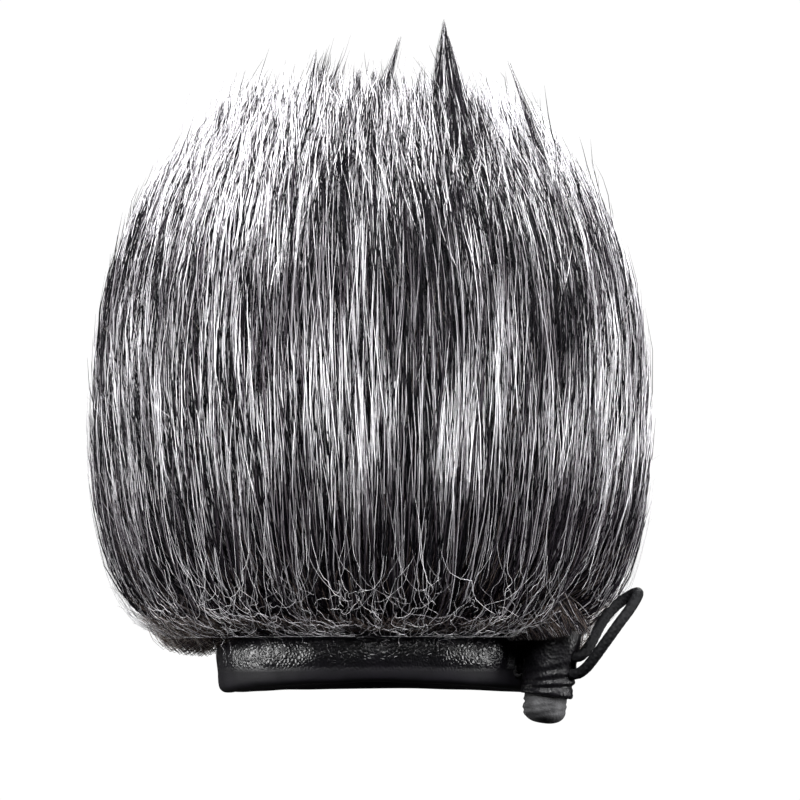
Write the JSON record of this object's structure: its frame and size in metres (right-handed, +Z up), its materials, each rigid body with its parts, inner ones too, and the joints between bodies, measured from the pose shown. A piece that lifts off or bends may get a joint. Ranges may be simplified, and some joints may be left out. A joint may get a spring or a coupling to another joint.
{
  "type": "furry windscreen",
  "caption": "Slip-over furry windscreen for a handheld recorder: long-pile fur bag, foam liner, leatherette collar, elastic drawcord and sprung cord lock",
  "frame": {"origin": "centre of the mouth, in the plane of the collar's lower edge", "axes": "+Z up to the crown, -Y the front, +X the side that the cord lock is on"},
  "size_m": [0.0886, 0.0886, 0.1096],
  "materials": {
    "fur_pile": "matte",
    "knit_backing": "matte",
    "liner_foam": "matte",
    "binding_tape": "matte",
    "thread": "matte",
    "leatherette": "satin",
    "elastic_cord": "matte",
    "lock_body": "satin",
    "lock_plunger": "matte",
    "spring_steel": "satin"
  },
  "bodies": {
    "windscreen": {"fur_front": "fur_pile", "fur_back": "fur_pile", "backing_front": "knit_backing", "backing_back": "knit_backing", "side_seam_thread": "thread", "foam_liner": "liner_foam", "binding_tape": "binding_tape", "collar_seam_thread": "thread", "collar_band": "leatherette", "exit_buttonhole": "thread", "exit_bar_tacks": "thread", "drawcord": "elastic_cord", "cord_whipping": "thread"},
    "lock": {"lock_barrel": "lock_body", "lock_spring": "spring_steel", "drawcord_loop": "elastic_cord"},
    "plunger": {"lock_plunger": "lock_plunger"}
  },
  "joints": [
    {"name": "lock_pull", "type": "slide", "parent": "windscreen", "child": "lock", "axis": [0.8576, -0.5, -0.1205], "range_m": [0, 0.006], "stiffness_N_per_m": 150},
    {"name": "plunger_press", "type": "slide", "parent": "lock", "child": "plunger", "axis": [0.1392, 0, 0.9903], "range_m": [0, 0.0024], "stiffness_N_per_m": 600, "deforming": ["lock_spring"]}
  ]
}
